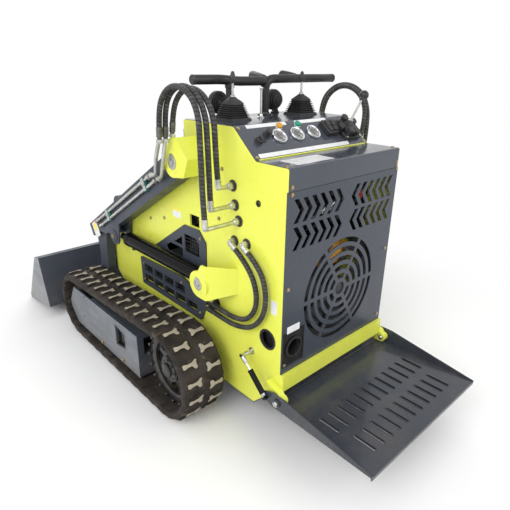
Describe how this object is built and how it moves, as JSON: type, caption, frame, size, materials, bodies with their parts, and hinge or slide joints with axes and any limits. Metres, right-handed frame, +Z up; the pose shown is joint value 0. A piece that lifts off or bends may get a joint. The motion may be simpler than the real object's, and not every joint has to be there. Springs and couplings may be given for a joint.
{
  "type": "mini track loader",
  "caption": "Ride-behind mini track loader with rubber tracks, lift arms, bucket, sloped engine hood and folding operator platform.",
  "frame": {"origin": "on the ground, under the middle of the outline", "axes": "+X forward to the bucket, +Y to the left of the machine, +Z up"},
  "size_m": [2.1734, 1.14, 1.2527],
  "materials": {
    "lime_paint": "satin",
    "slate_paint": "satin",
    "worn_paint": "matte",
    "zinc_steel": "satin",
    "chrome_rod": "polished",
    "track_rubber": "matte",
    "black_plastic": "matte",
    "hose_rubber": "matte",
    "cast_iron": "matte"
  },
  "bodies": {
    "chassis": {"left_side_plate": "lime_paint", "right_side_plate": "lime_paint", "rear_panel": "slate_paint", "rear_hood": "slate_paint", "console_panel": "slate_paint", "top_deck": "slate_paint", "front_hood": "slate_paint", "belly_plate": "slate_paint", "cross_bar": "lime_paint", "side_grilles": "slate_paint", "engine_block": "cast_iron", "exhaust": "cast_iron", "arm_brackets": "lime_paint", "cylinder_brackets": "lime_paint", "pivot_pins": "zinc_steel", "lever_boots": "black_plastic", "drive_levers": "black_plastic", "hand_rail": "black_plastic", "console_instruments": "black_plastic", "valve_lever": "black_plastic", "work_lights": "black_plastic", "left_track": "track_rubber", "right_track": "track_rubber", "track_frames": "worn_paint", "sprockets": "zinc_steel", "idlers": "cast_iron", "track_rollers": "cast_iron", "track_beams": "slate_paint", "left_arm_hose_inner": "hose_rubber", "left_arm_hose_middle": "hose_rubber", "left_arm_hose_outer": "hose_rubber", "right_arm_hose_inner": "hose_rubber", "right_arm_hose_middle": "hose_rubber", "left_lift_hose_front": "hose_rubber", "right_lift_hose_front": "hose_rubber", "left_lift_hose_rear": "hose_rubber", "right_lift_hose_rear": "hose_rubber", "hose_fittings": "zinc_steel"},
    "lift_arms": {"left_lift_arm": "slate_paint", "right_lift_arm": "slate_paint", "arm_cross_tubes": "slate_paint", "arm_pipes": "zinc_steel", "arm_hose_fittings": "zinc_steel"},
    "left_lift_barrel": {"left_lift_barrel": "slate_paint"},
    "left_lift_rod": {"left_lift_rod": "chrome_rod"},
    "right_lift_barrel": {"right_lift_barrel": "slate_paint"},
    "right_lift_rod": {"right_lift_rod": "chrome_rod"},
    "tilt_barrel": {"tilt_barrel": "slate_paint"},
    "tilt_rod": {"tilt_rod": "chrome_rod"},
    "bucket": {"bucket_shell": "worn_paint", "cutting_edge": "zinc_steel", "attachment_plate": "slate_paint"},
    "platform": {"step_platform": "slate_paint"},
    "strut_tube": {"strut_tube": "black_plastic"},
    "strut_rod": {"strut_rod": "chrome_rod"}
  },
  "joints": [
    {"name": "lift_arms", "type": "hinge", "parent": "chassis", "child": "lift_arms", "pos_m": [-0.22866, 0, 0.961], "axis": [0, -1, 0], "range_deg": [0, 78], "deforming": ["left_arm_hose_middle", "left_arm_hose_outer", "right_arm_hose_middle"]},
    {"name": "bucket", "type": "hinge", "parent": "lift_arms", "child": "bucket", "pos_m": [0.71734, 0, 0.115], "axis": [0, 1, 0], "range_deg": [-33, 105]},
    {"name": "platform", "type": "hinge", "parent": "chassis", "child": "platform", "pos_m": [-0.70466, 0, 0.215], "axis": [0, 1, 0], "range_deg": [0, 85]},
    {"name": "left_lift_barrel", "type": "hinge", "parent": "chassis", "child": "left_lift_barrel", "pos_m": [-0.35066, 0.333, 0.548], "axis": [0, -1, 0], "range_deg": [0, 53.82]},
    {"name": "left_lift_rod", "type": "slide", "parent": "left_lift_barrel", "child": "left_lift_rod", "axis": [0.9999, 0, -0.0119], "range_m": [0, 0.40761]},
    {"name": "right_lift_barrel", "type": "hinge", "parent": "chassis", "child": "right_lift_barrel", "pos_m": [-0.35066, -0.333, 0.548], "axis": [0, -1, 0], "range_deg": [0, 53.82]},
    {"name": "right_lift_rod", "type": "slide", "parent": "right_lift_barrel", "child": "right_lift_rod", "axis": [0.9999, 0, -0.0119], "range_m": [0, 0.40761]},
    {"name": "tilt_barrel", "type": "hinge", "parent": "lift_arms", "child": "tilt_barrel", "pos_m": [0.43734, 0, 0.735], "axis": [0, -1, 0], "range_deg": [-2.66, 8.45]},
    {"name": "tilt_rod", "type": "slide", "parent": "tilt_barrel", "child": "tilt_rod", "axis": [0.4354, 0, -0.9002], "range_m": [-0.03355, 0.10653]},
    {"name": "strut_tube", "type": "hinge", "parent": "platform", "child": "strut_tube", "pos_m": [-0.65466, 0.336, 0.215], "axis": [0, -1, 0], "range_deg": [0, 86.27]},
    {"name": "strut_rod", "type": "slide", "parent": "strut_tube", "child": "strut_rod", "axis": [0.7286, 0, 0.685], "range_m": [0, 0.06753]}
  ],
  "couplings": [
    {"joint": "left_lift_barrel", "follows": "lift_arms", "ratio": 0.68987},
    {"joint": "left_lift_rod", "follows": "lift_arms", "m_per_rad": 0.29934},
    {"joint": "right_lift_barrel", "follows": "lift_arms", "ratio": 0.68987},
    {"joint": "right_lift_rod", "follows": "lift_arms", "m_per_rad": 0.29934},
    {"joint": "tilt_barrel", "follows": "bucket", "ratio": 0.080364},
    {"joint": "tilt_rod", "follows": "bucket", "m_per_rad": 0.058076},
    {"joint": "strut_tube", "follows": "platform", "ratio": 1.0149},
    {"joint": "strut_rod", "follows": "platform", "m_per_rad": 0.045451}
  ]
}
